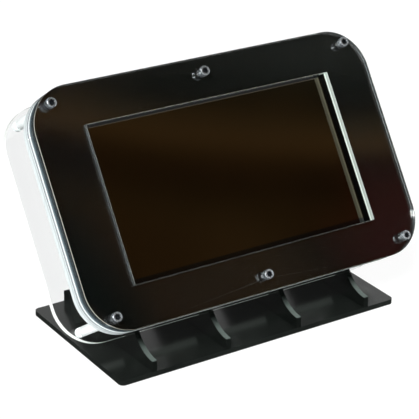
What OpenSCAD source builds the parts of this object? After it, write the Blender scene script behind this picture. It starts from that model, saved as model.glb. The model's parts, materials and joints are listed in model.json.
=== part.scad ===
// Tabletop touch-screen game terminal: a sandwich case of laser-cut acrylic sheets
// that leans back in a slotted stand. Millimetres, +Z up, the front faces -Y.
// The origin is on the table, in the middle of the width and depth.
// Case parts are drawn flat, with Z = 0 on the case's front face and +Y up the case,
// and in_case() then leans them back.

/* [Case] */
// Width of the acrylic sheets
case_w = 213.5; // [210:0.5:230]
// Height of the acrylic sheets, measured up the slope
case_h = 132; // [130:0.5:150]
// Corner radius of the sheets
case_r = 24; // [16:1:26]
// Angle that the case leans back from upright
tilt = 34.5; // [20:0.5:40]
// Height of the case's lowest corner above the table
case_lift = 9.7; // [9:0.1:16]
// Thickness of the clear front cover
cover_t = 4; // [3:0.5:5]
// Thickness of the black bezel
bezel_t = 3; // [2:0.5:4]
// Thickness of the front spacer frame
front_spacer_t = 3; // [3:0.5:4]
// Thickness of the rear spacer frame
rear_spacer_t = 5; // [5:0.5:6]
// Clear gap between the rear spacer and the back cover
gap = 25; // [24:1:30]
// Thickness of the clear back cover
back_t = 4; // [3:0.5:5]

/* [Window] */
// Width of the window in the front cover and bezel
window_w = 155.5; // [150:0.5:158]
// Height of the window
window_h = 87; // [80:0.5:90]
// Sideways offset of the window from the middle
window_x = 0.5; // [-2:0.5:2]
// Offset of the window up the case
window_y = -0.5; // [-2:0.5:2]

/* [Case screws] */
// Sideways distance of the corner screws from the middle
screw_x = 94; // [88:0.5:96]
// Distance of the screws from the middle, up and down the case
screw_y = 57.5; // [56:0.5:60]
// Thread diameter of the case screws
screw_d = 3; // [2.5:0.5:3]
// Length of the front screws under the head
front_screw_len = 20; // [18:1:22]
// Length of the rear screws under the head
rear_screw_len = 10; // [8:1:12]
// Outside diameter of the standoffs
standoff_d = 5.5; // [5:0.5:6]

/* [Display] */
// Width of the display module
display_w = 165; // [164:0.5:166]
// Height of the display module
display_h = 100; // [98:0.5:100]
// Thickness of the touch panel
touch_t = 1.2; // [1:0.1:1.4]
// Thickness of the display glass
glass_t = 1.6; // [1.4:0.1:1.8]
// Thickness of the tray's back
tray_t = 0.8; // [0.6:0.1:1]
// Thickness of the backlight between the glass and the tray's back
backlight_t = 2.4; // [2:0.1:2.6]

/* [Stand] */
// Width of the base plate
base_w = 180.5; // [170:0.5:190]
// Depth of the base plate
base_d = 95.5; // [90:0.5:100]
// Sheet thickness of the base and ribs
sheet_t = 3; // [3:0.1:3.2]
// How far the base's front edge lies behind the case's foremost edge
base_setback = 5.4; // [4:0.1:7]
// Distance from rib to rib
rib_pitch = 46.6; // [44:0.2:48]
// Height of the ribs' square ends above the base
rib_end_h = 6.3; // [5:0.1:8]
// Radius of the ribs' hollow front edge
rib_front_r = 22; // [21:0.5:23]
// Radius of the ribs' slightly hollow rear edge
rib_rear_r = 190; // [150:5:300]
// How far the ribs reach up the back cover from its lower edge
rib_rest_h = 38; // [30:1:42]

/* [Main board] */
// Width of the main board
board_w = 86; // [84:1:88]
// Height of the main board
board_h = 56; // [54:1:58]
// Sideways position of the main board's middle
board_x = -35; // [-37:1:-34]
// Position of its middle up the case
board_y = 2; // [0:1:4]
// Length of the brass standoffs under it
board_gap = 6; // [6:0.5:7]

/* [Driver board] */
// Width of the display driver board
driver_w = 56; // [54:1:58]
// Height of the display driver board
driver_h = 62; // [60:1:64]
// Sideways position of the driver board's middle
driver_x = 50; // [49:1:51]
// Position of its middle up the case
driver_y = 6; // [5:1:8]
// Height of the pillars under it
driver_gap = 3; // [3:0.5:3.5]

/* [Hidden] */

$fn = 64;
// Smallest overlap that keeps a cut from ending on a face
eps = 0.05;
// Gap left between parts that slide on each other
slide_gap = 0.3;
// Radial gap between a screw and a sheet's hole, and between a screw and a thread
hole_gap = 0.1;
thread_gap = 0.05;

// Levels through the case, each the rear face of the part it is named for
cover_z = -cover_t;
bezel_z = cover_z - bezel_t;
front_spacer_z = bezel_z - front_spacer_t;
rear_spacer_z = front_spacer_z - rear_spacer_t;
gap_z = rear_spacer_z - gap;
back_z = gap_z - back_t;
touch_z = bezel_z - touch_t;
glass_z = touch_z - glass_t;
backlight_z = glass_z - backlight_t;
tray_z = backlight_z - tray_t;

// Middle of the case's front face
case_y = back_z * cos(tilt) / 2;
case_z = case_lift + case_h / 2 * cos(tilt) - back_z * sin(tilt);

// Screw head and hexagon socket sizes in proportion to the thread
head_ratio = 5.5 / 3;
socket_ratio = 2.9 / 3;
screw_spots = [
    for (x = [-screw_x, 0, screw_x], y = [-screw_y, screw_y]) [x, y]
];

// Display clips
clip_w = 12;
clip_l = 14;
clip_t = 1.2;
clip_overlap = 5;
clip_screw_d = 2.5;
clip_spots = [for (x = [-60, 60], side = [-1, 1]) [x, side]];
pocket_gap = 0.5;

// Boards
pcb_t = 1.6;
pcb_r = 2;
board_inset = 3.5;
board_front_z = gap_z + board_gap + pcb_t;
board_rear_z = gap_z + board_gap;
driver_front_z = tray_z - driver_gap;
driver_rear_z = driver_front_z - pcb_t;
ribbon_t = 0.3;

// Buttons on the main board
button_spots = [-8, 6];
button_travel = 0.25;

// Stand
base_front = -case_h / 2 * sin(tilt) + case_y + base_setback;
base_rear = base_front + base_d;
base_r = 3;
slot_front_z = gap_z + slide_gap;
slot_rear_z = back_z - slide_gap;
slot_floor = -case_h / 2 - slide_gap;
tab_l = 14;
tab_spots = [base_front + 18, base_rear - 24];
tab_gap = 0.05;

// ---------- Helpers ----------

// Leans a part drawn on the case back into its place
module in_case() {
    translate([0, case_y, case_z]) rotate([90 - tilt, 0, 0]) children();
}

// A point given by level and height on the case, as [y, z] in the room
function lean(level, up) = [
    case_y + up * sin(tilt) - level * cos(tilt),
    case_z + up * cos(tilt) + level * sin(tilt)
];

// Points along an arc about a centre
function arc(centre, r, from, to, steps = 24) = [
    for (i = [0:steps]) centre + r * [cos(from + (to - from) * i / steps),
                                      sin(from + (to - from) * i / steps)]
];

// Points along the arc of radius r from a to b, with its centre to the left of a to b
function arc_between(a, b, r, steps = 24) =
    let (half = (b - a) / 2,
         away = sqrt(r * r - half * half) / norm(half),
         centre = a + half + away * [-half[1], half[0]],
         from = atan2(a[1] - centre[1], a[0] - centre[0]),
         to = atan2(b[1] - centre[1], b[0] - centre[0]))
    arc(centre, r, from, to, steps);

module rounded(w, h, r) {
    square([w - 2 * r, h], center = true);
    square([w, h - 2 * r], center = true);
    for (x = [-1, 1], y = [-1, 1])
        translate([x * (w / 2 - r), y * (h / 2 - r)]) circle(r);
}

// A block that stands on a level, or hangs under it where h is negative
module block(x, y, z, w, l, h) {
    translate([x - w / 2, y - l / 2, min(z, z + h)]) cube([w, l, abs(h)]);
}

module post(x, y, z, d, h) {
    translate([x, y, min(z, z + h)]) cylinder(d = d, h = abs(h));
}

module screw_holes(d = screw_d) {
    for (p = screw_spots) translate(p) circle(d = d + 2 * hole_gap);
}

// A case sheet whose rear face lies on a level
module case_sheet(rear, t) {
    translate([0, 0, rear]) linear_extrude(t) difference() {
        rounded(case_w, case_h, case_r);
        screw_holes();
        children();
    }
}

module window() {
    translate([window_x, window_y]) square([window_w, window_h], center = true);
}

module display_pocket() {
    translate([window_x, window_y])
        square([display_w + 2 * pocket_gap, display_h + 2 * pocket_gap], center = true);
}

// A socket-head cap screw with its head on a face, the head towards +Z
module cap_screw(d, l) {
    head_d = d * head_ratio;
    chamfer = d * 0.1;
    difference() {
        union() {
            translate([0, 0, -l]) cylinder(d = d, h = l + eps);
            cylinder(d = head_d, h = d - chamfer);
            translate([0, 0, d - chamfer])
                cylinder(d1 = head_d, d2 = head_d - 2 * chamfer, h = chamfer);
        }
        translate([0, 0, d * 0.45]) cylinder(d = d * socket_ratio, h = d, $fn = 6);
    }
}

// A bare board with a hole near each corner
module circuit_board(x, y, w, h, rear, inset, hole_d) {
    translate([x, y, rear]) linear_extrude(pcb_t) difference() {
        rounded(w, h, pcb_r);
        for (a = [-1, 1], b = [-1, 1])
            translate([a * (w / 2 - inset), b * (h / 2 - inset)]) circle(d = hole_d);
    }
}

module board_corners(x, y, w, h, inset) {
    for (a = [-1, 1], b = [-1, 1])
        translate([x + a * (w / 2 - inset), y + b * (h / 2 - inset), 0]) children();
}

// ---------- Case sheets ----------

module front_cover() {
    color("lightcyan", 0.4) in_case() case_sheet(cover_z, cover_t) window();
}

module bezel() {
    color("black") in_case() case_sheet(bezel_z, bezel_t) window();
}

module front_spacer() {
    color("lightcyan", 0.4) in_case()
        case_sheet(front_spacer_z, front_spacer_t) display_pocket();
}

module rear_spacer() {
    color("lightcyan", 0.4) in_case() case_sheet(rear_spacer_z, rear_spacer_t) {
        display_pocket();
        for (p = clip_spots) translate(clip_centre(p)) circle(d = clip_screw_d + 2 * thread_gap);
    }
}

module back_cover() {
    color("lightcyan", 0.4) in_case() case_sheet(back_z, back_t)
        translate([board_x, board_y]) for (a = [-1, 1], b = [-1, 1])
            translate([a * (board_w / 2 - board_inset), b * (board_h / 2 - board_inset)])
                circle(d = clip_screw_d + 2 * hole_gap);
}

// ---------- Case fasteners ----------

// Nylon standoffs, and nylon screws that hold the back cover on them
module case_standoffs() {
    color("whitesmoke") in_case() for (p = screw_spots)
        translate([p[0], p[1], gap_z]) difference() {
            cylinder(d = standoff_d, h = gap);
            translate([0, 0, -eps])
                cylinder(d = screw_d + 2 * thread_gap, h = gap + 2 * eps);
        }
}

module front_screws() {
    color("silver") in_case() for (p = screw_spots)
        translate([p[0], p[1], 0]) cap_screw(screw_d, front_screw_len);
}

module rear_screws() {
    color("whitesmoke") in_case() for (p = screw_spots)
        translate([p[0], p[1], back_z]) mirror([0, 0, 1]) cap_screw(screw_d, rear_screw_len);
}

// ---------- Display ----------

module touch_panel() {
    color("dimgray") in_case()
        block(window_x, window_y, bezel_z, display_w - 1, display_h - 1, -touch_t);
}

module display_glass() {
    color([0.09, 0.05, 0.02]) in_case()
        block(window_x, window_y, touch_z, display_w - 3, display_h - 3, -glass_t);
}

// Light guide and diffusers, one block with a strip of lamps along its lower edge
module backlight() {
    color("white") in_case()
        block(window_x, window_y, glass_z, display_w - 3, display_h - 3, -backlight_t);
}

// A shallow metal tray that holds the backlight and the glass
module display_tray() {
    wall = 1;
    depth = touch_z - tray_z;
    color("lightgray") in_case() difference() {
        block(window_x, window_y, tray_z, display_w, display_h, depth);
        block(window_x, window_y, backlight_z, display_w - 2 * wall, display_h - 2 * wall, depth);
    }
}

// Middle of a clip's screw hole, for a spot [x, side]
function clip_edge(side) = window_y + side * display_h / 2;
function clip_centre(spot) = [spot[0], clip_edge(spot[1]) + spot[1] * (clip_l / 2 - clip_overlap + 2)];

module display_clips() {
    color("gray") in_case() for (p = clip_spots)
        translate([p[0], clip_edge(p[1]) + p[1] * (clip_l / 2 - clip_overlap),
                   rear_spacer_z - clip_t])
            linear_extrude(clip_t) difference() {
                rounded(clip_w, clip_l, 1.5);
                translate([0, p[1] * 2]) circle(d = clip_screw_d + 2 * hole_gap);
            }
}

module clip_screws() {
    color("silver") in_case() for (p = clip_spots)
        translate([clip_centre(p)[0], clip_centre(p)[1], rear_spacer_z - clip_t])
            mirror([0, 0, 1]) cap_screw(clip_screw_d, rear_spacer_t);
}

module clip_pads() {
    pad_l = clip_overlap - pocket_gap;
    color("darkslategray") in_case() for (p = clip_spots)
        block(p[0], clip_edge(p[1]) - p[1] * (pad_l / 2 + pocket_gap), tray_z,
              clip_w - 2, pad_l, rear_spacer_z - tray_z);
}

// ---------- Display driver board ----------

module driver_board() {
    color("darkgreen") in_case()
        circuit_board(driver_x, driver_y, driver_w, driver_h, driver_rear_z, 3, 2.2);
}

// Stick-on pillars, each with a peg that snaps into the board's hole
module driver_pillars() {
    color("whitesmoke") in_case() board_corners(driver_x, driver_y, driver_w, driver_h, 3) {
        post(0, 0, tray_z, 5, -driver_gap);
        post(0, 0, tray_z - driver_gap + eps, 2.1, -(pcb_t + 1));
    }
}

module driver_chip() {
    color("black") in_case()
        block(driver_x - 2, driver_y + 6, driver_rear_z, 14, 14, -1.4);
}

module driver_coil() {
    color("dimgray") in_case()
        block(driver_x + 16, driver_y + 16, driver_rear_z, 7, 7, -3.5);
}

module driver_capacitors() {
    color("silver") in_case() for (i = [0:2])
        post(driver_x - 18 + 8 * i, driver_y + 22, driver_rear_z, 5, -5);
}

module display_ribbon_socket() {
    color("ivory") in_case()
        block(driver_x, driver_y - 25, driver_rear_z, 32, 5, -2.2);
}

module touch_ribbon_socket() {
    color("ivory") in_case()
        block(driver_x + 23, driver_y - 4, driver_rear_z, 4, 9, -2);
}

module driver_link_socket() {
    color("ivory") in_case()
        block(driver_x - driver_w / 2 + 3, driver_y - 8, driver_rear_z, 5, 18, -2.5);
}

// Flat ribbons are strips that follow a line of points in the plane across their width.
// The line is given once and its copy, moved by the ribbon's thickness, closes the shape.
module ribbon(line, across, shift) {
    back = [for (i = [len(line) - 1:-1:0]) line[i] + shift];
    translate(across[0]) rotate(across[1]) linear_extrude(across[2])
        polygon(concat(line, back));
}

// From under the tray's lower edge round to the driver board's socket
module display_ribbon() {
    low = driver_y - driver_h / 2;
    color("darkorange") in_case()
        ribbon([[low - 9, tray_z - ribbon_t], [low - 7, tray_z - ribbon_t],
                [low - 3, driver_rear_z - 1.4], [low + 3.5, driver_rear_z - 1.4]],
               [[driver_x - 15, 0, 0], [90, 0, 90], 30], [0, ribbon_t]);
}

module touch_ribbon() {
    edge = driver_x + driver_w / 2;
    color("darkorange") in_case()
        ribbon([[edge + 4, tray_z - ribbon_t], [edge + 2.5, tray_z - ribbon_t],
                [edge + 0.5, driver_rear_z - 1.2], [edge - 3, driver_rear_z - 1.2]],
               [[0, driver_y - 0.5, 0], [90, 0, 0], 7], [0, ribbon_t]);
}

// Joins the main board's video socket to the driver board's
module link_ribbon() {
    from = board_x + board_w / 2;
    to = driver_x - driver_w / 2;
    color("whitesmoke") in_case()
        ribbon([[from - 0.5, board_front_z + 1.2], [from + 3, board_front_z + 1.2],
                [to - 3, driver_rear_z - 1.4], [to + 0.5, driver_rear_z - 1.4]],
               [[0, driver_y - 0.5, 0], [90, 0, 0], 15], [0, ribbon_t]);
}

// ---------- Main board ----------

module main_board() {
    color("darkgreen") in_case()
        circuit_board(board_x, board_y, board_w, board_h, board_rear_z, board_inset,
                      clip_screw_d + 2 * hole_gap);
}

module board_standoffs() {
    color("goldenrod") in_case()
        board_corners(board_x, board_y, board_w, board_h, board_inset)
            translate([0, 0, gap_z]) difference() {
                cylinder(d = 5, h = board_gap, $fn = 6);
                translate([0, 0, -eps])
                    cylinder(d = clip_screw_d + 2 * thread_gap, h = board_gap + 2 * eps);
            }
}

module board_screws() {
    color("silver") in_case()
        board_corners(board_x, board_y, board_w, board_h, board_inset)
            translate([0, 0, board_front_z]) cap_screw(clip_screw_d, 4);
}

module board_rear_screws() {
    color("silver") in_case()
        board_corners(board_x, board_y, board_w, board_h, board_inset)
            translate([0, 0, back_z]) mirror([0, 0, 1]) cap_screw(clip_screw_d, back_t + 3);
}

module processor() {
    color("black") in_case() block(board_x, board_y + 2, board_front_z, 15, 15, 1.6);
}

module heat_sink() {
    fin = 1.2;
    fins = 6;
    sink_w = 16;
    color("silver") in_case() {
        block(board_x, board_y + 2, board_front_z + 1.6, sink_w, sink_w, 2);
        for (i = [0:fins - 1])
            block(board_x - (sink_w - fin) / 2 + i * (sink_w - fin) / (fins - 1), board_y + 2,
                  board_front_z + 3.6 - eps, fin, sink_w, 5);
    }
}

module memory_chips() {
    color("black") in_case() for (y = [-8, 10])
        block(board_x + 20, board_y + y, board_front_z, 9, 13, 1);
}

module power_chip() {
    color("black") in_case() block(board_x - 14, board_y - 15, board_front_z, 7, 7, 1);
}

module board_capacitors() {
    color("silver") in_case() for (i = [0:2])
        post(board_x - 5 + 8 * i, board_y - 15, board_front_z, 6, 5.5);
}

module pin_header() {
    pins = 12;
    pitch = 2.54;
    start = board_x + 9 - (pins - 1) * pitch / 2;
    color("black") in_case() {
        block(board_x + 9, board_y - board_h / 2 + 3.2, board_front_z,
              pins * pitch, 2 * pitch, 2.5);
        for (i = [0:pins - 1], j = [-1, 1])
            block(start + i * pitch, board_y - board_h / 2 + 3.2 + j * pitch / 2,
                  board_front_z + 2.5 - eps, 0.64, 0.64, 6);
    }
}

// A metal shell over the board's left edge with two flat openings, one over the other
module usb_socket() {
    left = board_x - board_w / 2;
    color("silver") in_case() difference() {
        block(left + 7, board_y + 14, board_front_z, 18, 14, 15.4);
        for (z = [1.2, 8.6])
            block(left + 5, board_y + 14, board_front_z + z, 18, 12.6, 5.4);
    }
}

// The plastic tongue in each opening, on a root at the shell's closed end
module usb_tongues() {
    left = board_x - board_w / 2;
    color("black") in_case() for (z = [2.4, 9.8])
        block(left + 8, board_y + 14, board_front_z + z, 12, 10.5, 1.8);
}

module network_socket() {
    left = board_x - board_w / 2;
    color("silver") in_case() difference() {
        block(left + 9, board_y - 7, board_front_z, 21, 16, 13.4);
        block(left + 5, board_y - 7, board_front_z + 2, 18, 12, 8.5);
    }
}

module power_jack() {
    low = board_y - board_h / 2;
    color("black") in_case() difference() {
        block(board_x - 28, low + 5.5, board_front_z, 9, 14, 11);
        translate([board_x - 28, low - 1.6, board_front_z + 6.5]) rotate([-90, 0, 0])
            cylinder(d = 6.4, h = 10);
    }
    color("silver") in_case() translate([board_x - 28, low, board_front_z + 6.5])
        rotate([-90, 0, 0]) cylinder(d = 2, h = 9);
}

module board_link_socket() {
    color("ivory") in_case()
        block(board_x + board_w / 2 - 3, driver_y - 8, board_front_z, 5, 18, 2.5);
}

// The card's socket hangs under the board's right end
module card_socket() {
    right = board_x + board_w / 2;
    color("silver") in_case() difference() {
        block(right - 7.5, board_y + 6, board_rear_z, 15, 14, -2.2);
        block(right - 6, board_y + 6, board_rear_z - 0.6, 16, 11.6, -1.2);
    }
}

module memory_card() {
    right = board_x + board_w / 2;
    color("black") in_case()
        block(right - 4.8, board_y + 6, board_rear_z - 0.85, 15, 11, -0.7);
}

module button_body(x) {
    top = board_y + board_h / 2;
    color("dimgray") in_case() difference() {
        block(board_x + x, top - 1.6, board_front_z, 6, 3.6, 4.4);
        translate([board_x + x, top - 1.4, board_front_z + 2.3]) rotate([-90, 0, 0])
            cylinder(d = 2.6, h = 3);
    }
}

module button_plunger(x) {
    top = board_y + board_h / 2;
    color("black") in_case()
        translate([board_x + x, top - 1.4 + button_travel + 0.1, board_front_z + 2.3])
            rotate([-90, 0, 0]) cylinder(d = 2.5, h = 3);
}

module power_button_body() { button_body(button_spots[0]); }

module power_button() { button_plunger(button_spots[0]); }

module reset_button_body() { button_body(button_spots[1]); }

module reset_button() { button_plunger(button_spots[1]); }

// ---------- Stand ----------

function rib_x(i) = (i - 1.5) * rib_pitch;

module stand_base() {
    color([0.07, 0.07, 0.07]) linear_extrude(sheet_t) difference() {
        translate([0, (base_front + base_rear) / 2]) rounded(base_w, base_d, base_r);
        for (i = [0:3], y = tab_spots) translate([rib_x(i), y])
            square([sheet_t + 2 * tab_gap, tab_l + 2 * tab_gap], center = true);
    }
}

// Side view of a rib in [y, z]: square front end, hollow front edge up to a horn that stands
// in the case's gap, slot for the back cover, rest behind it, and a long rear slope
module rib_profile() {
    end_z = sheet_t + rib_end_h;
    horn_r = 2;
    horn_up = slot_floor + 16;
    rest_up = slot_floor + rib_rest_h;
    rest_w = 6;
    rest_r = 2;
    polygon(concat(
        [[base_front, sheet_t]],
        arc([base_front, end_z + rib_front_r], rib_front_r, -90, 0),
        rounded_corner(slot_front_z, horn_up, horn_r, 1),
        [lean(slot_front_z, slot_floor), lean(slot_rear_z, slot_floor)],
        rounded_corner(slot_rear_z, rest_up, rest_r, -1),
        arc_between(lean(slot_rear_z - rest_w, rest_up), [base_rear, end_z], rib_rear_r),
        [[base_rear, sheet_t]],
        tab_outline(tab_spots[1]),
        tab_outline(tab_spots[0])
    ));
}

// The four corners of a tab that fills a slot in the base, from its rear to its front
function tab_outline(y) = [
    [y + tab_l / 2, sheet_t], [y + tab_l / 2, 0], [y - tab_l / 2, 0], [y - tab_l / 2, sheet_t]
];

// Rounds the corner of a rib's upright at a slot wall. Side 1 is in front of the slot.
function rounded_corner(level, up, r, side) =
    let (centre = lean(level + side * r, up - r),
         first = side > 0 ? 90 - tilt : 180 - tilt,
         last = side > 0 ? -tilt : 90 - tilt)
    arc(centre, r, first, last, 8);

module stand_rib(i) {
    color([0.07, 0.07, 0.07]) translate([rib_x(i) - sheet_t / 2, 0, 0])
        rotate([90, 0, 90]) linear_extrude(sheet_t) rib_profile();
}

module stand_rib_1() { stand_rib(0); }

module stand_rib_2() { stand_rib(1); }

module stand_rib_3() { stand_rib(2); }

module stand_rib_4() { stand_rib(3); }

front_cover();
bezel();
front_spacer();
rear_spacer();
back_cover();
case_standoffs();
front_screws();
rear_screws();
touch_panel();
display_glass();
backlight();
display_tray();
display_clips();
clip_screws();
clip_pads();
driver_board();
driver_pillars();
driver_chip();
driver_coil();
driver_capacitors();
display_ribbon_socket();
touch_ribbon_socket();
driver_link_socket();
display_ribbon();
touch_ribbon();
link_ribbon();
main_board();
board_standoffs();
board_screws();
board_rear_screws();
processor();
heat_sink();
memory_chips();
power_chip();
board_capacitors();
pin_header();
usb_socket();
usb_tongues();
network_socket();
power_jack();
board_link_socket();
card_socket();
memory_card();
power_button_body();
power_button();
reset_button_body();
reset_button();
stand_base();
stand_rib_1();
stand_rib_2();
stand_rib_3();
stand_rib_4();
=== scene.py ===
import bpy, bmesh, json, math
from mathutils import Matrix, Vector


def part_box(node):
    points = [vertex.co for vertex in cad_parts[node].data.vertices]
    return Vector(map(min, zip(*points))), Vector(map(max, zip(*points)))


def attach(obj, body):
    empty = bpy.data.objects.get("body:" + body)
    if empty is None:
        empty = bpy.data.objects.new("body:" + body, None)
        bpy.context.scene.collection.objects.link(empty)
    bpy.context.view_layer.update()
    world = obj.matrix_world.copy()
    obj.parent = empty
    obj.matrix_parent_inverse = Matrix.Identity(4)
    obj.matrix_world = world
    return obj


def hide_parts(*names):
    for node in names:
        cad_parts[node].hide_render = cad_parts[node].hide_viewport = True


# %% [markdown]
# # A tabletop game terminal in clear and black acrylic
# The real object is a sandwich of laser-cut acrylic sheets that holds a small wide display, and it
# leans back in a stand of black acrylic ribs. The CAD model already has every sheet, screw and board
# at its true size. This lesson gives them their finishes, models the small parts that a CAD model
# leaves plain, and lights and films the result. Everything is in metres, like the frame itself.

# %% Load the CAD frame
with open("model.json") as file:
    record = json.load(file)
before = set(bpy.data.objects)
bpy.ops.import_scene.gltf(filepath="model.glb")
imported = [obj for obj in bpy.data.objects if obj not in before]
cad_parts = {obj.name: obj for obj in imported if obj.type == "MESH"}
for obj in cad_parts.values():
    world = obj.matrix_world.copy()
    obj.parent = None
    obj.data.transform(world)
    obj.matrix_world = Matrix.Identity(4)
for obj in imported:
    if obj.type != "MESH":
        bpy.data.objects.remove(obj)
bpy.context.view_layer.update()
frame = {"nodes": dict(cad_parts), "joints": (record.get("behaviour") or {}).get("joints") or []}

MM = 0.001
joints = {j["name"]: j for j in frame["joints"]}

# %% [markdown]
# ## A frame of reference on the leaning case
# The case leans back, so it is easier to think in its own directions: across, up the slope, and out of
# the front face. The lift-off joint slides straight up the slope, so its axis is that direction.
# The front cover's box then gives the middle of its front face.

# %% Directions and places on the case
UP = Vector(joints["case_lift_off"]["axis"]).normalized()
ACROSS = Vector((1, 0, 0))
OUT = ACROSS.cross(UP)
TILT = math.asin(UP.y)
COVER_MM = 4

def middle(node):
    low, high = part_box(node)
    return (low + high) / 2

FACE = middle("front_cover") + OUT * (COVER_MM / 2) * MM
CASE_AXES = Matrix((ACROSS, UP, OUT)).transposed().to_4x4()
TO_ROOM = Matrix.Translation(FACE) @ CASE_AXES @ Matrix.Scale(MM, 4)
TO_CASE = TO_ROOM.inverted()
print("the case leans back", round(math.degrees(TILT), 1), "degrees; its front is centred on", FACE)

# %% [markdown]
# ## Small helpers for materials
# Paint charts and screens give colours as sRGB hex values, but a renderer adds up light, so it needs
# them linear. One function does the change. One more adds a shader node with its settings and links:
# an input can be a value, a socket, or another node, which stands for the first output it has in use.
# That keeps each recipe below short enough to read from top to bottom.

# %% Colour and node helpers
def linear(colour):
    """An sRGB hex colour, or a grey from 0 to 1 that is linear already, as linear RGBA."""
    if not isinstance(colour, str):
        return [colour] * 3 + [1.0]
    parts = [int(colour[i:i + 2], 16) / 255 for i in (1, 3, 5)]
    return [p / 12.92 if p < 0.04045 else ((p + 0.055) / 1.055) ** 2.4 for p in parts] + [1.0]

def add(tree, kind, inputs=None, stops=(), **settings):
    """Adds a node. stops are a colour ramp's (position, colour) pairs."""
    node = tree.nodes.new(kind)
    for name, value in settings.items():
        setattr(node, name, value)
    for i, (position, colour) in enumerate(stops):
        elements = node.color_ramp.elements
        stop = elements[i] if i < len(elements) else elements.new(1.0)
        stop.position = position
        stop.color = linear(colour)
    for name, value in (inputs or {}).items():
        if isinstance(value, bpy.types.Node):
            value = next(socket for socket in value.outputs if socket.enabled)
        if isinstance(value, bpy.types.NodeSocket):
            tree.links.new(value, node.inputs[name])
        else:
            node.inputs[name].default_value = value
    return node

def new_material(name):
    """An empty material and the object's own coordinates, in metres."""
    material = bpy.data.materials.new(name)
    material.use_nodes = True
    tree = material.node_tree
    tree.nodes.clear()
    return material, tree, add(tree, "ShaderNodeTexCoord").outputs["Object"]

def surface(tree, inputs):
    """Ends a recipe with one Principled shader on the material's output."""
    shader = add(tree, "ShaderNodeBsdfPrincipled", inputs)
    return shader, add(tree, "ShaderNodeOutputMaterial", {"Surface": shader})

def grain(tree, place, size_mm, detail=3.0, stretch=(1, 1, 1)):
    """Noise whose blotches are about size_mm across, stretched along the case's own axes."""
    turned = add(tree, "ShaderNodeMapping", {"Vector": place, "Rotation": (TILT - math.pi / 2, 0, 0),
                 "Scale": stretch})
    return add(tree, "ShaderNodeTexNoise", {"Vector": turned, "Scale": 1 / (size_mm * MM),
               "Detail": detail})

print("helpers ready")

# %% [markdown]
# ## Clear cast acrylic
# The covers and spacers are cast acrylic (PMMA), cut with a laser. The faces keep the mirror finish of
# the casting glass, so they are nearly invisible except for what they reflect; its IOR is 1.49. The cut
# edges carry fine upright striations and scatter light, and light that travels inside the sheet leaves
# there, so they look milky and bright. That brightness is painted in: a part of each edge is a white
# diffuse surface, how large a part changes with how deep in the sandwich the edge lies, and edges that
# face down get a faint painted glow. A shadow ray passes straight through, since a clear sheet hardly
# darkens the table.

# %% Edges, faces and depths
PMMA_IOR = 1.49
STRIATION_MM = 0.5       # real laser striations are finer, 0.1 to 0.2 mm, too fine to show
SMUDGE_MM = 18
EDGE_COSINE = 0.6        # a face is an edge where it turns more than about 53 degrees from the front
DEPTH_SPAN_MM = 50       # the ramps below run from the front face to this far behind it

def edge_mask(tree):
    """1 on the cut edges of a sheet on the case, 0 on its faces."""
    normal = add(tree, "ShaderNodeNewGeometry").outputs["Normal"]
    facing = add(tree, "ShaderNodeVectorMath", {0: normal, 1: tuple(OUT)}, operation="DOT_PRODUCT")
    flat = add(tree, "ShaderNodeMath", {0: facing}, operation="ABSOLUTE")
    return add(tree, "ShaderNodeMath", {0: flat, 1: EDGE_COSINE}, operation="LESS_THAN")

def by_depth(tree, place, stops):
    """Colours or greys that change with the distance behind the case's front face."""
    out = add(tree, "ShaderNodeVectorMath", {0: place, 1: tuple(OUT)}, operation="DOT_PRODUCT")
    depth = add(tree, "ShaderNodeMapRange", {"Value": out, "From Min": FACE.dot(OUT),
                "From Max": FACE.dot(OUT) - DEPTH_SPAN_MM * MM})
    return add(tree, "ShaderNodeValToRGB", {"Fac": depth},
               stops=[(mm / DEPTH_SPAN_MM, colour) for mm, colour in stops])

print("the cut edge starts at", round(math.degrees(math.acos(EDGE_COSINE))), "degrees")

# %% Clear acrylic
MILK_BY_DEPTH_MM = [(0.0, 0.65), (0.5, 0.6), (1.0, 0.06), (2.5, 0.07), (4.0, 0.15), (7.0, 0.98),
                    (8.0, 0.95), (8.5, 0.6), (9.6, 0.25), (10.2, 0.9), (11.5, 0.6), (12.5, 0.85),
                    (40.0, 0.95), (44.0, 0.95)]
TINT_BY_DEPTH_MM = [(0.0, "#e2d3b8"), (0.6, "#dfe3dc"), (1.2, "#a9bcc4"), (4.0, "#a9bcc4"),
                    (7.0, "#fbffff"), (8.5, "#e2ecf0"), (15.0, "#e6eeee"), (40.0, "#f6fbf7")]
# The window's right wall is painted whiter and milkier in two bands: light piped in from the far edge.
WALL_MILK_BY_DEPTH_MM = [(0.0, 0.35), (0.7, 0.6), (2.4, 0.55), (2.7, 1.0), (4.0, 1.0)]
WALL_X = 78 * MM         # the wall stands about this far to the right of the middle
WALL_REACH = 4 * MM
# Light that has run down inside a sheet leaves through its lower edge, painted on as a faint glow.
PAINTED_GLOW_BY_DEPTH_MM = [(0.0, 0.05), (1.0, 0.03), (1.4, 0.0), (7.0, 0.0), (7.2, 0.25), (8.6, 0.2),
                     (9.2, 0.0), (40.0, 0.0), (40.2, 0.2), (44.0, 0.2)]

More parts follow.
